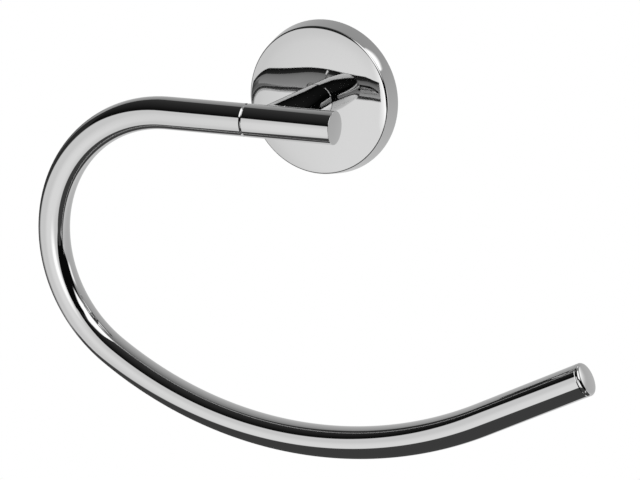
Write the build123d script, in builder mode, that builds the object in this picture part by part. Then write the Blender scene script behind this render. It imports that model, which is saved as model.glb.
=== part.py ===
# Open towel ring: a bent chromed tube carried by a post and cross sleeve on a round wall rosette.
# Frame: +X to the right along the sleeve, +Y into the wall, +Z up.
# The origin is the centre of the rosette on the wall plane, so the object stands at negative Y.
# All sizes are in millimetres.

import os
from math import asin, cos, degrees, sin

from build123d import *

os.makedirs("parts", exist_ok=True)

# Ring: one tube with two bends, in a plane parallel to the wall
tube_diameter = 12.0
tube_wall = 1.0
seam_chamfer = 0.5
lead_in = 32.0
tight_bend_radius = 52.0
tight_bend_angle = 147.0
wide_bend_radius = 146.0
wide_bend_angle = 62.1
run_out = 41.6

# Cap in the free end of the ring
cap_length = 1.95
cap_dome_radius = 40.0
cap_edge_radius = 1.2
cap_seam_chamfer = 0.2
cap_stem_length = 8.0

# Post and cross sleeve, one casting
sleeve_axis_to_wall = 45.4
sleeve_left = 10.2
sleeve_right = 24.2
sleeve_end_chamfer = 0.2
post_foot_diameter = 13.0
post_foot_chamfer = 0.3
post_flare_width = 17.5
post_flare_inset = 0.1

# Rosette: a cup with an open back and a tapered side; its face is flat in the middle, where the post
# stands, and falls off to the edge in two arcs, the crown and the shoulder
rosette_diameter = 59.0
rosette_side_depth = 6.85
rosette_side_taper = 1.4
rosette_flat_diameter = 21.6
rosette_crown_radius = 133.0
rosette_shoulder_width = 5.1
rosette_shoulder_radius = 33.0
rosette_edge_radius = 0.9
rosette_wall = 2.0

# Bracket on the wall, inside the rosette
bracket_thickness = 3.5
bracket_clearance = 0.2
bracket_opening_diameter = 22.0
wall_screw_spacing = 36.0
wall_screw_hole_diameter = 4.5
wall_screw_head_diameter = 8.6
countersink_angle = 90.0
notch_width = 12.0
notch_undercut = 1.6

# Set screws, one under the rosette and one at the back of the ring's tube, turned down by some degrees
set_screw_diameter = 4.0
set_screw_key = 2.0
set_screw_key_depth = 1.6
set_screw_point_chamfer = 0.6
set_screw_recess = 0.5
grub_screw_length = 5.0
grub_screw_to_wall = 2.9
spigot_screw_length = 5.0
spigot_screw_from_seam = 6.0
spigot_screw_droop = 20.0
spigot_screw_rim = 0.45

# Screw that ties the post to the rosette, with its washer
post_screw_diameter = 6.0
post_screw_length = 16.0
post_screw_head_diameter = 10.5
post_screw_head_height = 3.0
post_screw_head_edge = 0.8
post_screw_key = 4.0
post_screw_key_depth = 2.0
post_hole_spare_depth = 1.0
screw_hole_clearance = 0.2
washer_diameter = 12.0
washer_thickness = 1.0

# Spigot that joins the tube to the sleeve
spigot_plug_length = 14.0
spigot_tenon_diameter = 8.0
spigot_tenon_length = 15.0
spigot_end_chamfer = 0.5
tenon_bore_spare_depth = 0.8

# Fits: radial gap of turned pieces in their bores, of threads, and of a screw's point from its seat
turned_clearance = 0.05
thread_clearance = 0.05
point_clearance = 0.05

# Sizes that follow from the ones above
tube_radius = tube_diameter / 2
tube_bore_radius = tube_radius - tube_wall
plug_radius = tube_bore_radius - turned_clearance
tenon_radius = spigot_tenon_diameter / 2
cap_dome_slope = asin(tube_radius / cap_dome_radius)
rosette_radius = rosette_diameter / 2
flat_radius = rosette_flat_diameter / 2
set_screw_radius = set_screw_diameter / 2
post_screw_radius = post_screw_diameter / 2


def side_radius(depth):
    """Outer radius of the rosette's tapered side, at this distance from the wall."""
    return rosette_radius - rosette_side_taper * depth / rosette_side_depth


def inner_radius(depth):
    """Radius of the rosette's inside, at this distance from the wall."""
    return side_radius(depth) - rosette_wall


# Slopes of the rosette's face where the crown ends and at the edge, in radians, and what they rise
shoulder_start = side_radius(rosette_side_depth) - rosette_shoulder_width
crown_slope = asin((shoulder_start - flat_radius) / rosette_crown_radius)
edge_slope = asin(sin(crown_slope) + rosette_shoulder_width / rosette_shoulder_radius)
crown_rise = rosette_crown_radius * (1 - cos(crown_slope))
shoulder_rise = rosette_shoulder_radius * (cos(crown_slope) - cos(edge_slope))

# Places measured from the wall, from the axes and from the seam
seat_depth = rosette_side_depth + shoulder_rise + crown_rise
inner_seat_depth = seat_depth - rosette_wall
inner_side_depth = rosette_side_depth - rosette_wall
screw_head_depth = inner_seat_depth - washer_thickness
post_hole_depth = post_screw_length - washer_thickness - rosette_wall + post_hole_spare_depth
grub_screw_end = side_radius(grub_screw_to_wall) - set_screw_recess
notch_front = grub_screw_end - grub_screw_length - point_clearance
spigot_hole_depth = set_screw_recess + spigot_screw_length + point_clearance
spigot_screw_x = -sleeve_left - spigot_screw_from_seam

# Planes that face out of the piece they belong to
ring_plane = Plane.XZ.offset(sleeve_axis_to_wall)
seam_plane = Plane((-sleeve_left, -sleeve_axis_to_wall, 0), x_dir=(0, 1, 0), z_dir=(-1, 0, 0))
foot_plane = Plane((0, -seat_depth, 0), x_dir=(1, 0, 0), z_dir=(0, 1, 0))
seat_plane = Plane.XZ.offset(seat_depth)
bracket_front = Plane.XZ.offset(bracket_thickness)
head_plane = Plane((0, -screw_head_depth, 0), x_dir=(1, 0, 0), z_dir=(0, 1, 0))
rosette_underside = Plane((0, -grub_screw_to_wall, -rosette_radius), z_dir=(0, 0, -1))
tube_back = Plane(
    (spigot_screw_x, -sleeve_axis_to_wall, 0),
    x_dir=(1, 0, 0),
    z_dir=Vector(0, 1, 0).rotate(Axis.X, -spigot_screw_droop),
).offset(tube_radius)


def build_set_screw(outer_end, length):
    """Set screw with a hexagon socket; its outer end lies on the plane and its point behind it."""
    with BuildPart() as screw:
        with BuildSketch(outer_end):
            Circle(set_screw_radius)
        extrude(amount=-length)
        point_rim = screw.edges().sort_by(Axis(outer_end.origin, outer_end.z_dir))[0]
        chamfer(point_rim, set_screw_point_chamfer)
        with BuildSketch(outer_end):
            RegularPolygon(set_screw_key / 2, 6, major_radius=False)
        extrude(amount=-set_screw_key_depth, mode=Mode.SUBTRACT)
    return screw


# Wall bracket: pressed disc with two countersunk screw holes, an opening that clears the post screw's
# head, and a slanted notch at the bottom, where the grub screw draws the rosette against the wall
with BuildPart() as wall_bracket:
    with BuildSketch(Plane.XZ):
        Circle(inner_radius(bracket_thickness) - bracket_clearance)
        Circle(bracket_opening_diameter / 2, mode=Mode.SUBTRACT)
    extrude(amount=bracket_thickness)
    with Locations(bracket_front):
        with GridLocations(wall_screw_spacing, 0, 2, 1):
            CounterSinkHole(
                wall_screw_hole_diameter / 2,
                wall_screw_head_diameter / 2,
                counter_sink_angle=countersink_angle,
            )
    with BuildSketch(Plane.YZ):
        with BuildLine():
            Polyline(
                (0, -notch_front + notch_undercut),
                (-bracket_thickness, -notch_front),
                (-bracket_thickness, -rosette_radius),
                (0, -rosette_radius),
                close=True,
            )
        make_face()
    extrude(amount=notch_width / 2, both=True, mode=Mode.SUBTRACT)
wall_bracket.part.label = "wall_bracket"
export_step(wall_bracket.part, "parts/wall_bracket.step")

# Rosette: cup turned from the section right of the axis; the inside keeps about the same wall all over
with BuildPart() as rosette:
    with BuildSketch(Plane.XY):
        with BuildLine():
            flat = Line((0, -seat_depth), (flat_radius, -seat_depth))
            crown = JernArc(flat @ 1, flat % 1, rosette_crown_radius, degrees(crown_slope))
            shoulder = JernArc(
                crown @ 1, crown % 1, rosette_shoulder_radius, degrees(edge_slope - crown_slope)
            )
            Polyline(
                shoulder @ 1,
                (rosette_radius, 0),
                (inner_radius(0), 0),
                (inner_radius(inner_side_depth), -inner_side_depth),
                (flat_radius, -inner_seat_depth),
                (0, -inner_seat_depth),
                flat @ 0,
            )
        make_face()
        fillet(vertices().sort_by_distance(shoulder @ 1)[0], rosette_edge_radius)
    revolve(axis=Axis.Y)
    with Locations(seat_plane):
        Hole(post_screw_radius + screw_hole_clearance, depth=seat_depth)
    with Locations(rosette_underside):
        Hole(set_screw_radius + thread_clearance, depth=rosette_side_taper + 2 * rosette_wall)
rosette.part.label = "rosette"
export_step(rosette.part, "parts/rosette.step")

# Grub screw under the rosette, its point in the bracket's notch
rosette_grub_screw = build_set_screw(
    rosette_underside.offset(grub_screw_end - rosette_radius), grub_screw_length
)
rosette_grub_screw.part.label = "rosette_grub_screw"
export_step(rosette_grub_screw.part, "parts/rosette_grub_screw.step")

# Washer between the post screw's head and the rosette
with BuildPart() as post_washer:
    with BuildSketch(head_plane):
        Circle(washer_diameter / 2)
        Circle(post_screw_radius + screw_hole_clearance, mode=Mode.SUBTRACT)
    extrude(amount=-washer_thickness)
post_washer.part.label = "post_washer"
export_step(post_washer.part, "parts/post_washer.step")

# Post screw: button head with a hexagon socket, inside the rosette, its shank in the post's foot
with BuildPart() as post_screw:
    with BuildSketch(head_plane):
        Circle(post_screw_head_diameter / 2)
    extrude(amount=post_screw_head_height)
    fillet(post_screw.edges().sort_by(Axis.Y)[-1], post_screw_head_edge)
    with BuildSketch(head_plane.offset(post_screw_head_height)):
        RegularPolygon(post_screw_key / 2, 6, major_radius=False)
    extrude(amount=-post_screw_key_depth, mode=Mode.SUBTRACT)
    with BuildSketch(head_plane):
        Circle(post_screw_radius)
    extrude(amount=-post_screw_length)
post_screw.part.label = "post_screw"
export_step(post_screw.part, "parts/post_screw.step")

# Support post: one casting; the round foot widens into the cross sleeve, which is as thick as the ring
with BuildPart() as support_post:
    with BuildSketch(seat_plane):
        Circle(post_foot_diameter / 2)
    with BuildSketch(ring_plane):
        Ellipse(post_flare_width / 2, tube_radius - post_flare_inset)
    loft()
    chamfer(support_post.edges().sort_by(Axis.Y)[-1], post_foot_chamfer)
    with BuildSketch(seam_plane):
        Circle(tube_radius)
    extrude(amount=-(sleeve_left + sleeve_right))
    sleeve_ends = support_post.faces().filter_by(Axis.X).sort_by(Axis.X)
    chamfer(sleeve_ends[0].edges(), seam_chamfer)
    chamfer(sleeve_ends[-1].edges(), sleeve_end_chamfer)
    with Locations(foot_plane):
        Hole(post_screw_radius + thread_clearance, depth=post_hole_depth)
    with Locations(seam_plane):
        Hole(tenon_radius + turned_clearance, depth=spigot_tenon_length + tenon_bore_spare_depth)
support_post.part.label = "support_post"
export_step(support_post.part, "parts/support_post.step")

# Ring spigot: turned; its tenon is pressed into the sleeve, its thick end stands in the tube and has a
# tapped hole at the back
with BuildPart() as ring_spigot:
    with BuildSketch(seam_plane):
        Circle(plug_radius)
    extrude(amount=spigot_plug_length)
    with BuildSketch(seam_plane):
        Circle(tenon_radius)
    extrude(amount=-spigot_tenon_length)
    spigot_ends = ring_spigot.faces().filter_by(Axis.X).sort_by(Axis.X)
    chamfer(spigot_ends[0].edges() + spigot_ends[-1].edges(), spigot_end_chamfer)
    with Locations(tube_back):
        Hole(set_screw_radius + thread_clearance, depth=spigot_hole_depth)
ring_spigot.part.label = "ring_spigot"
export_step(ring_spigot.part, "parts/ring_spigot.step")

# Set screw in the spigot; its outer end stands in the tube's hole and so holds the ring
spigot_set_screw = build_set_screw(tube_back.offset(-set_screw_recess), spigot_screw_length)
spigot_set_screw.part.label = "spigot_set_screw"
export_step(spigot_set_screw.part, "parts/spigot_set_screw.step")

# Centreline of the ring: from the seam to the left, round the tight bend and along the wide one
with BuildLine(ring_plane) as ring_path:
    lead = Line((-sleeve_left, 0), (-sleeve_left - lead_in, 0))
    tight_bend = JernArc(lead @ 1, lead % 1, tight_bend_radius, tight_bend_angle)
    wide_bend = JernArc(tight_bend @ 1, tight_bend % 1, wide_bend_radius, wide_bend_angle)
    end_run = Line(wide_bend @ 1, (wide_bend @ 1) + (wide_bend % 1) * run_out)

# Ring tube: drawn tube, bent cold, with both ends broken by a small chamfer and a countersunk hole at
# the back for the spigot's set screw
with BuildPart() as ring_tube:
    with BuildSketch(seam_plane):
        Circle(tube_radius)
        Circle(tube_bore_radius, mode=Mode.SUBTRACT)
    sweep(path=ring_path.wires()[0])
    end_rims = ring_tube.faces().filter_by(GeomType.PLANE).edges().group_by(SortBy.RADIUS)[-1]
    sleeve_rim, cap_rim = end_rims.sort_by(Axis.X)
    chamfer(sleeve_rim, seam_chamfer)
    chamfer(cap_rim, cap_seam_chamfer)
    with Locations(tube_back):
        CounterSinkHole(
            set_screw_radius + thread_clearance,
            set_screw_radius + thread_clearance + spigot_screw_rim,
            depth=tube_radius,
            counter_sink_angle=countersink_angle,
        )
ring_tube.part.label = "ring_tube"
export_step(ring_tube.part, "parts/ring_tube.step")

# Ring end cap: turned plug, its head as wide as the tube, slightly domed and rounded at the edge; its
# section stands on the tube's end, right of the axis
cap_axis = Axis(end_run @ 1, end_run % 1)
cap_plane = Plane(cap_axis.position, x_dir=(0, 1, 0), z_dir=Vector(0, 1, 0).cross(cap_axis.direction))
with BuildPart() as ring_end_cap:
    with BuildSketch(cap_plane):
        with BuildLine():
            dome = JernArc((0, cap_length), (1, 0), cap_dome_radius, -degrees(cap_dome_slope))
            Polyline(
                dome @ 1,
                (tube_radius, cap_seam_chamfer),
                (tube_radius - cap_seam_chamfer, 0),
                (plug_radius, 0),
                (plug_radius, -cap_stem_length),
                (0, -cap_stem_length),
                dome @ 0,
            )
        make_face()
        fillet(vertices().sort_by_distance(dome @ 1)[0], cap_edge_radius)
    revolve(axis=cap_axis)
ring_end_cap.part.label = "ring_end_cap"
export_step(ring_end_cap.part, "parts/ring_end_cap.step")
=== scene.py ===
from itertools import pairwise
from math import asin, atan2, cos, hypot, radians, sin, tan

import bmesh
import bpy
from mathutils import Matrix, Vector


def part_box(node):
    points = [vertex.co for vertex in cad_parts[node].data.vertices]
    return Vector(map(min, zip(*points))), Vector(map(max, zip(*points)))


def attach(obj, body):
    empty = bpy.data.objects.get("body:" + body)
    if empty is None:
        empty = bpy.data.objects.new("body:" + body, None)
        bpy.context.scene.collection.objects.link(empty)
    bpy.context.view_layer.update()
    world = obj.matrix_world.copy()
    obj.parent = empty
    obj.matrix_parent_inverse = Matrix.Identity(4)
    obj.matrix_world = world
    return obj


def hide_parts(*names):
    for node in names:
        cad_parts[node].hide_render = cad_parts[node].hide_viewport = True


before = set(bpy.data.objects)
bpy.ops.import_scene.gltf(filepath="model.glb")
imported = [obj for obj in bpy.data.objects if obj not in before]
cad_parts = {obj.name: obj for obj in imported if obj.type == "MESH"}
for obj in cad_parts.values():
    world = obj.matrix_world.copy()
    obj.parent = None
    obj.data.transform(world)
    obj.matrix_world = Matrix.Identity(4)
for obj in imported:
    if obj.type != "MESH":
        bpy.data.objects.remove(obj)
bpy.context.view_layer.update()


# Wall bracket: a pressed steel disc with two countersunk screw holes, zinc plated.
# It is screwed to the wall first, and the rosette is pushed over it.
def cloud_pattern(nodes, links, scale, detail):
    """Soft random pattern that stays with the piece; gives its value, from 0 to 1."""
    place = nodes.new("ShaderNodeTexCoord")
    noise = nodes.new("ShaderNodeTexNoise")
    noise.inputs["Scale"].default_value = scale
    noise.inputs["Detail"].default_value = detail
    links.new(place.outputs["Object"], noise.inputs["Vector"])
    return noise.outputs["Fac"]


def gloss_and_relief(nodes, links, polish, roughness, height, relief, depth):
    """Lets the shader's roughness follow one pattern, between two values, and its relief another."""
    shader = nodes["Principled BSDF"]
    gloss = nodes.new("ShaderNodeMapRange")
    gloss.inputs["To Min"].default_value = roughness[0]
    gloss.inputs["To Max"].default_value = roughness[1]
    links.new(polish, gloss.inputs["Value"])
    links.new(gloss.outputs["Result"], shader.inputs["Roughness"])
    bump = nodes.new("ShaderNodeBump")
    bump.inputs["Strength"].default_value = relief
    bump.inputs["Distance"].default_value = depth
    links.new(height, bump.inputs["Height"])
    links.new(bump.outputs["Normal"], shader.inputs["Normal"])


def worked_metal(name, colour, shade, grain, roughness, relief):
    """Bare or plated metal: cloudy in colour by the given shade, with a fine grain in gloss and relief."""
    material = bpy.data.materials.new(name)
    material.use_nodes = True
    nodes, links = material.node_tree.nodes, material.node_tree.links
    shader = nodes["Principled BSDF"]
    shader.inputs["Metallic"].default_value = 1.0
    tint = nodes.new("ShaderNodeMix")
    tint.data_type = "RGBA"
    tint.inputs["A"].default_value = (*[channel * (1 - shade) for channel in colour], 1)
    tint.inputs["B"].default_value = (*colour, 1)
    links.new(cloud_pattern(nodes, links, scale=grain / 6, detail=4.0), tint.inputs["Factor"])
    links.new(tint.outputs["Result"], shader.inputs["Base Color"])
    fine = cloud_pattern(nodes, links, scale=grain, detail=3.0)
    gloss_and_relief(nodes, links, fine, roughness, fine, relief, depth=0.0001)
    return material


def finish_node(node, material):
    """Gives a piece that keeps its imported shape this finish."""
    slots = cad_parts[node].data.materials
    slots.clear()
    slots.append(material)


zinc = worked_metal(
    "zinc_plate", colour=(0.56, 0.57, 0.58), shade=0.25, grain=900, roughness=(0.3, 0.5), relief=0.15
)
finish_node("wall_bracket", zinc)

# Rosette: a turned cup with a tapered side, chromed to a mirror, which hides the bracket.
# Its face is flat under the post and falls off to the edge in two arcs;
# a tapped hole below takes a grub screw.
rosette_low, rosette_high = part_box("rosette")
rosette_radius = rosette_high.x
rosette_depth = -rosette_low.y
rosette_wall = 0.002
rosette_taper = 0.0014
flat_radius = 0.0108
crown_radius = 0.133
shoulder_width = 0.0051
shoulder_radius = 0.033
rosette_edge_radius = 0.0009
post_screw_hole_radius = 0.0032
set_screw_hole_radius = 0.00205
grub_screw_to_wall = 0.0029
rosette_steps = 256
crown_steps = 24
shoulder_steps = 5  # each step has to stay wider than the rounded edge's reach
edge_segments = 8
crisp_angle = radians(30)
touching = 1e-6


def chrome_plate():
    """Mirror chrome: a bright neutral metal whose polish has faint clouds and a trace of waviness."""
    material = bpy.data.materials.new("chrome_plate")
    material.use_nodes = True
    nodes, links = material.node_tree.nodes, material.node_tree.links
    shader = nodes["Principled BSDF"]
    shader.inputs["Base Color"].default_value = (0.556, 0.556, 0.556, 1)
    shader.inputs["Metallic"].default_value = 1.0
    polish = cloud_pattern(nodes, links, scale=60.0, detail=6.0)
    wave = cloud_pattern(nodes, links, scale=140.0, detail=2.0)
    gloss_and_relief(nodes, links, polish, (0.015, 0.045), wave, relief=0.02, depth=0.0002)
    return material


chrome = chrome_plate()


def make_piece(name, bm):
    """A piece from a closed bmesh: outward faces, smooth across gentle angles and crisp at edges."""
    bmesh.ops.remove_doubles(bm, verts=bm.verts, dist=touching)
    bmesh.ops.recalc_face_normals(bm, faces=bm.faces)
    mesh = bpy.data.meshes.new(name)
    bm.to_mesh(mesh)
    bm.free()
    mesh.shade_smooth()
    mesh.set_sharp_from_angle(angle=crisp_angle)
    piece = bpy.data.objects.new(name, mesh)
    bpy.context.scene.collection.objects.link(piece)
    return piece


def chromed(piece, node):
    """The piece shows in place of this node, in chrome."""
    piece.data.materials.clear()
    piece.data.materials.append(chrome)
    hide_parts(node)
    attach(piece, "root")


def bevel_edges(bm, edges, width, segments):
    """Breaks these edges by a chamfer, or by a round of several segments."""
    bmesh.ops.bevel(
        bm, geom=edges, affect="EDGES", offset=width, segments=segments, profile=0.5, material=-1
    )


def link_corners(bm, corners):
    """Straight edges from each corner to the next."""
    for corner, following in pairwise(corners):
        bm.edges.new((corner, following))


def turn_section(bm, axis, steps):
    """Turns a half section once round an axis through the origin."""
    bmesh.ops.spin(
        bm,
        geom=bm.verts[:] + bm.edges[:],
        cent=(0, 0, 0),
        axis=axis,
        angle=radians(360),
        steps=steps,
        use_merge=True,
    )
    bmesh.ops.remove_doubles(bm, verts=bm.verts, dist=touching)


def rod(radius, length, start, direction, steps=64, end_radius=None):
    """Closed bmesh cylinder that begins at a point and runs in a direction; a cone with an end radius."""
    bm = bmesh.new()
    bmesh.ops.create_cone(
        bm, cap_ends=True, segments=steps, radius1=radius, radius2=end_radius or radius, depth=length
    )
    turn = Vector((0, 0, 1)).rotation_difference(Vector(direction)).to_matrix().to_4x4()
    middle = Vector(start) + Vector(direction).normalized() * length / 2
    bmesh.ops.transform(bm, matrix=Matrix.Translation(middle) @ turn, verts=bm.verts)
    return bm


def combine(piece, operation, bm):
    """Joins a closed bmesh to the piece, or cuts it out, and keeps the result as the piece's mesh."""
    tool = make_piece("tool", bm)
    change = piece.modifiers.new("combine", "BOOLEAN")
    change.operation = operation
    change.solver = "EXACT"
    change.object = tool
    view = bpy.context.evaluated_depsgraph_get()
    result = bpy.data.meshes.new_from_object(piece.evaluated_get(view))
    result.name = piece.name
    result.shade_smooth()
    result.set_sharp_from_angle(angle=crisp_angle)
    piece.modifiers.clear()
    piece.data = result
    bpy.data.objects.remove(tool)


section = bmesh.new()


def section_point(radius, depth):
    """Corner of the rosette's section, at this radius and this depth from the wall."""
    return section.verts.new((radius, -depth, 0))


def section_arc(first, centre, angle, steps):
    """Arc of the section from its first point about a centre; gives its last point."""
    made = bmesh.ops.spin(section, geom=[first], cent=centre, axis=(0, 0, 1), angle=angle, steps=steps)
    return next(g for g in made["geom_last"] if isinstance(g, bmesh.types.BMVert))


front_radius = rosette_radius - rosette_taper
shoulder_start = front_radius - shoulder_width
crown_slope = asin((shoulder_start - flat_radius) / crown_radius)
edge_slope = asin(sin(crown_slope) + shoulder_width / shoulder_radius)
outer_hole = section_point(post_screw_hole_radius, rosette_depth)
flat_end = section_point(flat_radius, rosette_depth)
crown_centre = flat_end.co + Vector((0, crown_radius, 0))
crown_end = section_arc(flat_end, crown_centre, crown_slope, crown_steps)
shoulder_centre = crown_end.co.lerp(crown_centre, shoulder_radius / crown_radius)
outer_edge = section_arc(crown_end, shoulder_centre, edge_slope - crown_slope, shoulder_steps)
edge_place = outer_edge.co.copy()
side_slope = atan2(rosette_taper, -edge_place.y)
inner_side_depth = -edge_place.y - rosette_wall
inner_side_radius = rosette_radius - rosette_wall - inner_side_depth * tan(side_slope)
inner_seat_depth = rosette_depth - rosette_wall
rosette_corners = [
    outer_edge,
    section_point(rosette_radius, 0),
    section_point(rosette_radius - rosette_wall, 0),
    section_point(inner_side_radius, inner_side_depth),
    section_point(flat_radius, inner_seat_depth),
    section_point(post_screw_hole_radius, inner_seat_depth),
    outer_hole,
    flat_end,
]
link_corners(section, rosette_corners)
turn_section(section, (0, 1, 0), rosette_steps)


def on_outer_edge(edge):
    """True for the edges where the crowned face meets the side."""
    return all(
        abs(hypot(v.co.x, v.co.z) - edge_place.x) < 10 * touching
        and abs(v.co.y - edge_place.y) < 10 * touching
        for v in edge.verts
    )


half_corner = (radians(90) + edge_slope + side_slope) / 2
face_rim = [e for e in section.edges if on_outer_edge(e)]
bevel_edges(section, face_rim, rosette_edge_radius / tan(half_corner), edge_segments)
rosette = make_piece("chromed_rosette", section)
grub_hole = rod(
    set_screw_hole_radius,
    2 * rosette_wall,
    (0, -grub_screw_to_wall, -rosette_radius + 1.5 * rosette_wall),
    (0, 0, -1),
)
combine(rosette, "DIFFERENCE", grub_hole)
chromed(rosette, "rosette")

# Grub screw under the rosette, and the post's screw and washer inside it: turned stainless steel.
# The grub screw clamps the rosette on the bracket; the post screw ties the post to the rosette.
stainless = worked_metal(
    "stainless_steel", colour=(0.5, 0.5, 0.49), shade=0.12, grain=1600, roughness=(0.22, 0.34), relief=0.08
)
for node in ("rosette_grub_screw", "post_washer", "post_screw"):
    finish_node(node, stainless)

# Support post: one zinc casting, a round post that widens into a cross sleeve as thick as the ring.
# It is polished and chromed with the rosette, and its foot stands flat on the rosette's seat.
post_low, post_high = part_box("support_post")
tube_low, tube_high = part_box("ring_tube")
tube_radius = (tube_high.y - tube_low.y) / 2
ring_depth = -(tube_high.y + tube_low.y) / 2
post_foot_radius = post_high.z
post_flare = Vector((0.00875, 0.0059))
post_foot_chamfer = 0.0003
sleeve_end_round = 0.0002
seam_chamfer = 0.0005
spigot_bore_radius = 0.00405
spigot_bore_depth = 0.0158
post_tap_radius = 0.00305
post_tap_depth = 0.014
bore_overshoot = 0.001
casting_steps = 160
flare_steps = 16

sleeve = rod(
    tube_radius, post_high.x - post_low.x, (post_low.x, -ring_depth, 0), (1, 0, 0), steps=casting_steps
)
for end, width, segments in ((post_low.x, seam_chamfer, 1), (post_high.x, sleeve_end_round, 3)):
    rim = [e for e in sleeve.edges if all(abs(v.co.x - end) < touching for v in e.verts)]
    bevel_edges(sleeve, rim, width, segments)
post = make_piece("chromed_post", sleeve)

shank = rod(
    post_foot_radius, ring_depth - rosette_depth, (0, -rosette_depth, 0), (0, -1, 0), steps=casting_steps
)
foot_rim = [e for e in shank.edges if all(v.co.y > -rosette_depth - touching for v in e.verts)]
bevel_edges(shank, foot_rim, post_foot_chamfer, 1)
flare_end = [v for v in shank.verts if v.co.y < -(ring_depth + rosette_depth) / 2]
widen = Vector((post_flare.x / post_foot_radius, 1, post_flare.y / post_foot_radius))
bmesh.ops.scale(shank, vec=widen, verts=flare_end)
lengthwise = [e for e in shank.edges if abs(e.verts[0].co.y - e.verts[1].co.y) > 2 * post_foot_chamfer]
bmesh.ops.subdivide_edges(shank, edges=lengthwise, cuts=flare_steps - 1, use_grid_fill=True)
combine(post, "UNION", shank)
for radius, depth, start, direction in (
    (post_tap_radius, post_tap_depth, (0, -rosette_depth, 0), (0, -1, 0)),
    (spigot_bore_radius, spigot_bore_depth, (post_low.x, -ring_depth, 0), (1, 0, 0)),
):
    begin = Vector(start) - Vector(direction) * bore_overshoot
    combine(post, "DIFFERENCE", rod(radius, depth + bore_overshoot, begin, direction))
chromed(post, "support_post")

# Spigot: turned brass, its tenon pressed into the sleeve, its thick end inside the ring's tube.
# Its stainless set screw stands in a hole at the tube's back, so that the ring can be taken off.
brass = worked_metal(
    "turned_brass", colour=(0.72, 0.56, 0.28), shade=0.15, grain=1400, roughness=(0.25, 0.4), relief=0.08
)
finish_node("ring_spigot", brass)
finish_node("spigot_set_screw", stainless)

# Ring: drawn brass tube, bent cold in two stretches of different radius, polished and chromed.
# It butts against the sleeve, where two small chamfers leave a fine groove, and is open on the right;
# a countersunk hole at its back takes the spigot's set screw.
tube_wall = 0.001
cap_seam_chamfer = 0.0002
lead_in = 0.032
tight_bend = (0.052, radians(147))
wide_bend = (0.146, radians(62.1))
run_out = 0.0416
spigot_screw_from_seam = 0.006
spigot_screw_droop = radians(20)
spigot_screw_rim = 0.00045
round_steps = 128
bore_steps = 48
stretch_length = 0.0025

ring = bmesh.new()


def sweep_tube(radius, steps):
    """Skin of the ring's route at this radius; gives its first and last edge loop, end and heading."""
    start = bmesh.ops.create_circle(ring, cap_ends=False, segments=steps, radius=radius)["verts"]
    to_seam = Matrix.Translation((post_low.x, -ring_depth, 0)) @ Matrix.Rotation(radians(90), 4, "Y")
    bmesh.ops.transform(ring, matrix=to_seam, verts=start)
    first = [e for e in ring.edges if all(v in start for v in e.verts)]
    loop, place, heading = first, Vector((post_low.x, -ring_depth, 0)), Vector((-1, 0, 0))
    for length, bend in ((lead_in, tight_bend), (0, wide_bend), (run_out, None)):
        count = round(length / stretch_length)
        for _ in range(count):
            made = bmesh.ops.extrude_edge_only(ring, edges=loop)["geom"]
            loop = [g for g in made if isinstance(g, bmesh.types.BMEdge) and len(g.link_faces) == 1]
            ends = [g for g in made if isinstance(g, bmesh.types.BMVert)]
            bmesh.ops.translate(ring, vec=heading * length / count, verts=ends)
        place = place + heading * length
        if bend:
            bend_radius, angle = bend
            centre = place + bend_radius * Vector((-heading.z, 0, heading.x))
            made = bmesh.ops.spin(
                ring,
                geom=loop,
                cent=centre,
                axis=(0, -1, 0),
                angle=angle,
                steps=round(bend_radius * angle / stretch_length),
            )["geom_last"]
            loop = [g for g in made if isinstance(g, bmesh.types.BMEdge)]
            turn = Matrix.Rotation(angle, 3, (0, -1, 0))
            place, heading = centre + turn @ (place - centre), turn @ heading
    return first, loop, place, heading


outer_first, outer_last, ring_end, end_heading = sweep_tube(tube_radius, round_steps)
bore_first, bore_last, _, _ = sweep_tube(tube_radius - tube_wall, bore_steps)
for end_loops in (outer_first + bore_first, outer_last + bore_last):
    bmesh.ops.triangle_fill(ring, edges=end_loops, use_beauty=True)
for rim, width in ((outer_first, seam_chamfer), (outer_last, cap_seam_chamfer)):
    bevel_edges(ring, rim, width, 1)
tube = make_piece("chromed_ring", ring)
tube_back = Vector((0, cos(spigot_screw_droop), -sin(spigot_screw_droop)))
hole_start = Vector((post_low.x - spigot_screw_from_seam, -ring_depth, 0))
screw_hole = rod(set_screw_hole_radius, 2 * tube_radius, hole_start, tube_back)
countersink = rod(
    set_screw_hole_radius,
    2 * spigot_screw_rim,
    hole_start + tube_back * (tube_radius - spigot_screw_rim),
    tube_back,
    end_radius=set_screw_hole_radius + 2 * spigot_screw_rim,
)
for cutter in (screw_hole, countersink):
    combine(tube, "DIFFERENCE", cutter)
chromed(tube, "ring_tube")

# End cap: a turned plug with a slightly domed head and a rounded edge, chromed with the tube.
# It is pressed into the tube's free end; its head is as wide as the tube, so only a fine groove shows.
cap_length = 0.00195
cap_dome_radius = 0.040
cap_edge_radius = 0.0012
cap_stem_length = 0.008
cap_stem_radius = 0.00495
cap_edge_steps = 12
cap_dome_steps = 10

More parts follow.
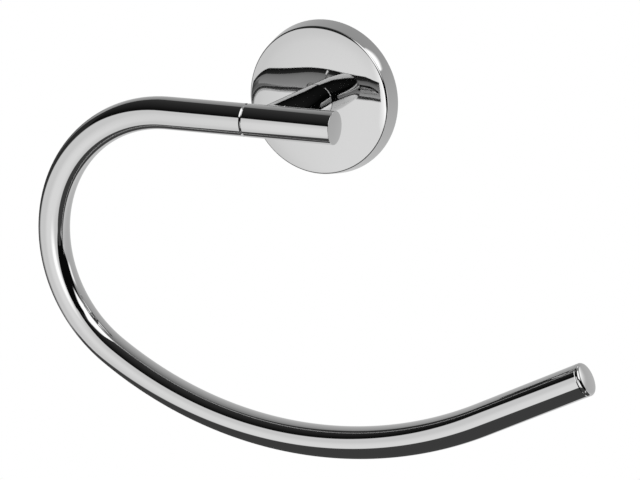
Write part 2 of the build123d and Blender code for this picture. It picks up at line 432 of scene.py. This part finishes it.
dome_centre = cap_length - cap_dome_radius
edge_inset = tube_radius - cap_edge_radius
dome_reach = asin(edge_inset / (cap_dome_radius - cap_edge_radius))
edge_centre = dome_centre + (cap_dome_radius - cap_edge_radius) * cos(dome_reach)
outline = [
    (0, -cap_stem_length),
    (cap_stem_radius, -cap_stem_length),
    (cap_stem_radius, 0),
    (tube_radius - cap_seam_chamfer, 0),
    (tube_radius, cap_seam_chamfer),
]
for step in range(cap_edge_steps + 1):
    lean = (radians(90) - dome_reach) * step / cap_edge_steps
    outline.append((edge_inset + cap_edge_radius * cos(lean), edge_centre + cap_edge_radius * sin(lean)))
for step in range(1, cap_dome_steps + 1):
    lean = dome_reach * (1 - step / cap_dome_steps)
    outline.append((cap_dome_radius * sin(lean), dome_centre + cap_dome_radius * cos(lean)))
cap = bmesh.new()
link_corners(cap, [cap.verts.new((radius, 0, along)) for radius, along in outline])
turn_section(cap, (0, 0, 1), round_steps)
to_end = Vector((0, 0, 1)).rotation_difference(end_heading).to_matrix().to_4x4()
bmesh.ops.transform(cap, matrix=Matrix.Translation(ring_end) @ to_end, verts=cap.verts)
end_cap = make_piece("chromed_end_cap", cap)
chromed(end_cap, "ring_end_cap")

# Floor: a plain pale ground far below, white to the eye and in the metal.
# It is wide enough that its edge is never in view.
floor_drop = 1.2
floor_width = 24.0


def background_rays(nodes, links):
    """1 for rays from the camera and for those that metal or glass sends on, and otherwise 0."""
    rays = nodes.new("ShaderNodeLightPath")
    total = rays.outputs["Is Camera Ray"]
    for kind in ("Is Glossy Ray", "Is Transmission Ray"):
        add = nodes.new("ShaderNodeMath")
        add.operation = "ADD"
        add.use_clamp = True
        links.new(total, add.inputs[0])
        links.new(rays.outputs[kind], add.inputs[1])
        total = add.outputs[0]
    return total


ground = bmesh.new()
bmesh.ops.create_grid(ground, x_segments=1, y_segments=1, size=floor_width / 2)
floor = make_piece("floor", ground)
floor.location = (0, 0, -floor_drop)
floor_paint = bpy.data.materials.new("floor_paint")
floor_paint.use_nodes = True
nodes, links = floor_paint.node_tree.nodes, floor_paint.node_tree.links
paint = nodes["Principled BSDF"]
paint.inputs["Base Color"].default_value = (0.8, 0.8, 0.8, 1)
paint.inputs["Roughness"].default_value = 0.9
white = nodes.new("ShaderNodeEmission")
choose = nodes.new("ShaderNodeMixShader")
links.new(background_rays(nodes, links), choose.inputs["Fac"])
links.new(paint.outputs["BSDF"], choose.inputs[1])
links.new(white.outputs["Emission"], choose.inputs[2])
links.new(choose.outputs["Shader"], nodes["Material Output"].inputs["Surface"])
floor.data.materials.append(floor_paint)

# Studio: a white surround that the eye and the metal see at full strength, with a weaker fill,
# and one large soft lamp in front, which doesn't show in the metal.
world = bpy.data.worlds.new("studio")
bpy.context.scene.world = world
world.use_nodes = True
nodes, links = world.node_tree.nodes, world.node_tree.links
fill = nodes["Background"]
fill.inputs["Color"].default_value = (1, 1, 1, 1)
fill.inputs["Strength"].default_value = 0.6
surround = nodes.new("ShaderNodeBackground")
surround.inputs["Color"].default_value = (1, 1, 1, 1)
surround.inputs["Strength"].default_value = 1.0
choose = nodes.new("ShaderNodeMixShader")
links.new(background_rays(nodes, links), choose.inputs["Fac"])
links.new(fill.outputs["Background"], choose.inputs[1])
links.new(surround.outputs["Background"], choose.inputs[2])
links.new(choose.outputs["Shader"], nodes["World Output"].inputs["Surface"])

lamp_place = Vector((0.5, -1.0, 1.0))
lamp_light = bpy.data.lights.new("soft_lamp", "AREA")
lamp_light.size = 1.2
lamp_light.energy = 9.0
lamp = bpy.data.objects.new("soft_lamp", lamp_light)
bpy.context.scene.collection.objects.link(lamp)
lamp_turn = lamp_place.to_track_quat("Z", "Y").to_matrix().to_4x4()
lamp.matrix_world = Matrix.Translation(lamp_place) @ lamp_turn
lamp.visible_glossy = False

# Cards: soft-edged panels round the object that only the metal sees.
# The dark ones draw the bands in the chrome, the bright ones its highlights.
up = Vector((0, 0, 1))
sleeve_middle = Vector((0, -ring_depth, 0))
object_middle = sleeve_middle - up * 0.05
ring_left = Vector((tube_low.x + tube_radius / 2, tube_low.y, object_middle.z))


def toward(azimuth, elevation):
    """Direction from the object: azimuth from the room side towards the right, elevation upwards."""
    azimuth, elevation = radians(azimuth), radians(elevation)
    return Vector((sin(azimuth) * cos(elevation), -cos(azimuth) * cos(elevation), sin(elevation)))


def sideways(azimuth):
    """Level direction to the right of this azimuth."""
    return toward(azimuth + 90, 0)


def card_glow(name, half, soft, level, top_level):
    """Light that runs from one level at the card's foot to another at its top, and fades at its rim."""
    material = bpy.data.materials.new(name)
    material.use_nodes = True
    nodes, links = material.node_tree.nodes, material.node_tree.links
    nodes.remove(nodes["Principled BSDF"])
    place = nodes.new("ShaderNodeTexCoord")
    axes = nodes.new("ShaderNodeSeparateXYZ")
    links.new(place.outputs["Object"], axes.inputs["Vector"])
    fades = []
    for axis, reach in zip("XY", half):
        distance = nodes.new("ShaderNodeMath")
        distance.operation = "ABSOLUTE"
        links.new(axes.outputs[axis], distance.inputs[0])
        fade = nodes.new("ShaderNodeMapRange")
        fade.interpolation_type = "SMOOTHSTEP"
        fade.inputs["From Min"].default_value = reach + soft / 2
        fade.inputs["From Max"].default_value = reach - soft / 2
        links.new(distance.outputs[0], fade.inputs["Value"])
        fades.append(fade.outputs["Result"])
    cover = nodes.new("ShaderNodeMath")
    cover.operation = "MULTIPLY"
    links.new(fades[0], cover.inputs[0])
    links.new(fades[1], cover.inputs[1])
    ramp = nodes.new("ShaderNodeMapRange")
    ramp.inputs["From Min"].default_value = -half[1]
    ramp.inputs["From Max"].default_value = half[1]
    ramp.inputs["To Min"].default_value = level
    ramp.inputs["To Max"].default_value = top_level
    links.new(axes.outputs["Y"], ramp.inputs["Value"])
    light = nodes.new("ShaderNodeEmission")
    links.new(ramp.outputs["Result"], light.inputs["Strength"])
    clear = nodes.new("ShaderNodeBsdfTransparent")
    blend = nodes.new("ShaderNodeMixShader")
    links.new(cover.outputs[0], blend.inputs["Fac"])
    links.new(clear.outputs["BSDF"], blend.inputs[1])
    links.new(light.outputs["Emission"], blend.inputs[2])
    links.new(blend.outputs["Shader"], nodes["Material Output"].inputs["Surface"])
    return material


def hang_card(name, centre, across, upward, half, soft, level, top_level=None):
    """A card with this centre, width direction and height direction, which only reflections see."""
    bm = bmesh.new()
    bmesh.ops.create_grid(bm, x_segments=1, y_segments=1, size=1.0)
    bmesh.ops.scale(bm, vec=(half[0] + soft / 2, half[1] + soft / 2, 1), verts=bm.verts)
    card = make_piece(name, bm)
    across = Vector(across).normalized()
    upward = (Vector(upward) - across * Vector(upward).dot(across)).normalized()
    turn = Matrix((across, upward, across.cross(upward))).transposed().to_4x4()
    card.matrix_world = Matrix.Translation(centre) @ turn
    if top_level is None:
        top_level = level
    card.data.materials.append(card_glow(name, half, soft, level, top_level))
    card.visible_camera = False
    card.visible_diffuse = False
    card.visible_transmission = False
    card.visible_shadow = False


def face_card(name, azimuth, elevation, distance, half, soft, level, roll=0, middle=object_middle):
    """A card square to its line from the object's middle, or from another point, rolled about that line."""
    line = toward(azimuth, elevation)
    across = line.cross(up).normalized()
    upward = across.cross(line)
    lean = radians(roll)
    hang_card(
        name,
        centre=middle + line * distance,
        across=across * cos(lean) + upward * sin(lean),
        upward=upward * cos(lean) - across * sin(lean),
        half=half,
        soft=soft,
        level=level,
    )


# Two dark strips below, at slightly different heights so that their edges blend.
strip_left = -0.175
strip_right = 0.42
for name, azimuth, front, back, drop in (
    ("strip_under_ring", -25.0, 0.083, -0.035, 0.159),
    ("strip_behind", -1.6, 0.024, -0.045, 0.160),
):
    across, forward = sideways(azimuth), toward(azimuth, 0)
    to_centre = across * (strip_left + strip_right) / 2 + forward * (front + back) / 2
    hang_card(
        name,
        centre=sleeve_middle + to_centre - up * drop,
        across=across,
        upward=forward,
        half=((strip_right - strip_left) / 2, (front - back) / 2),
        soft=0.014,
        level=0.075,
    )

# Dark flags above, near the sleeve's end, at both sides and behind the ring's left edge.
overhead_azimuth = -31.5
overhead_across, overhead_forward = sideways(overhead_azimuth), toward(overhead_azimuth, 0)
hang_card(
    "flag_overhead",
    centre=sleeve_middle + overhead_forward * 0.165 - overhead_across * 0.13 + up * 0.238,
    across=overhead_across,
    upward=up * 0.583 - overhead_forward,
    half=(0.585, 0.207),
    soft=0.026,
    level=0.0,
    top_level=0.06,
)
near_across = sideways(28.0)
near_lean = radians(10.5)
hang_card(
    "flag_near",
    centre=(0.078, -0.165, 0.010),
    across=near_across * cos(near_lean) + up * sin(near_lean),
    upward=up * cos(near_lean) - near_across * sin(near_lean),
    half=(0.031, 0.049),
    soft=0.008,
    level=0.004,
)
face_card(
    "flag_right",
    azimuth=64.5,
    elevation=12.0,
    distance=0.5125,
    roll=52.4,
    half=(0.363, 0.336),
    soft=0.03,
    level=0.005,
)
face_card(
    "flag_left",
    azimuth=-83.4,
    elevation=30.2,
    distance=0.5,
    roll=36.4,
    half=(0.142, 0.449),
    soft=0.06,
    level=0.037,
)
face_card(
    "flag_edge",
    azimuth=-122,
    elevation=-13,
    distance=0.2,
    middle=ring_left,
    half=(0.1, 0.14),
    soft=0.16,
    level=0.05,
)

# Grey panels behind, which shade the edges of the chrome.
hang_card(
    "ceiling_behind",
    centre=(0, 0.055, 0.35),
    across=(1, 0, 0),
    upward=(0, 1, 0),
    half=(1.2, 0.1),
    soft=0.03,
    level=0.15,
    top_level=0.45,
)
hang_card(
    "backdrop",
    centre=(0, 0.14, -0.05),
    across=(1, 0, 0),
    upward=up,
    half=(1.2, 0.45),
    soft=0.09,
    level=1.0,
    top_level=0.33,
)

# Bright cards: the main softbox, two lights from the room side, and small ones for the rosette and the cap.
face_card(
    "softbox",
    azimuth=67.0,
    elevation=50.2,
    distance=0.37,
    roll=-64.8,
    half=(0.1535, 0.1436),
    soft=0.053,
    level=1.8,
)
face_card(
    "front_light",
    azimuth=-6,
    elevation=-22,
    distance=1.0,
    half=(0.52, 0.55),
    soft=0.64,
    level=1.2,
)
face_card(
    "camera_light",
    azimuth=13.5,
    elevation=-5,
    distance=0.95,
    half=(0.18, 0.225),
    soft=0.28,
    level=1.9,
)
hang_card(
    "rim_light",
    centre=(0.0935, 0.054, 0.086),
    across=(-0.68, 0, 0.73),
    upward=(0, 1, 0),
    half=(0.034, 0.02),
    soft=0.007,
    level=2.0,
)
face_card(
    "cap_light",
    azimuth=136,
    elevation=22,
    distance=0.18,
    middle=ring_end,
    half=(0.04, 0.04),
    soft=0.04,
    level=1.6,
)

# Camera: a long lens close by, a little above the ring and to the right of the rosette's axis.
# It looks slightly down, at the middle of the ring.
camera_azimuth = 24.78
camera_elevation = 16.59
camera_roll = -0.80
camera_distance = 0.675
camera_target = Vector((0.01078, -0.030, -0.04656))
camera_lens = 103.47
lens = bpy.data.cameras.new("camera")
lens.lens = camera_lens
lens.sensor_width = 36.0
lens.clip_start = 0.01
camera = bpy.data.objects.new("camera", lens)
bpy.context.scene.collection.objects.link(camera)
camera_turn = (
    Matrix.Rotation(radians(camera_azimuth), 4, "Z")
    @ Matrix.Rotation(radians(90 - camera_elevation), 4, "X")
    @ Matrix.Rotation(radians(camera_roll), 4, "Z")
)
backward = camera_turn.to_3x3() @ up
camera.matrix_world = Matrix.Translation(camera_target + backward * camera_distance) @ camera_turn
bpy.context.scene.camera = camera
bpy.context.scene.view_settings.view_transform = "Standard"
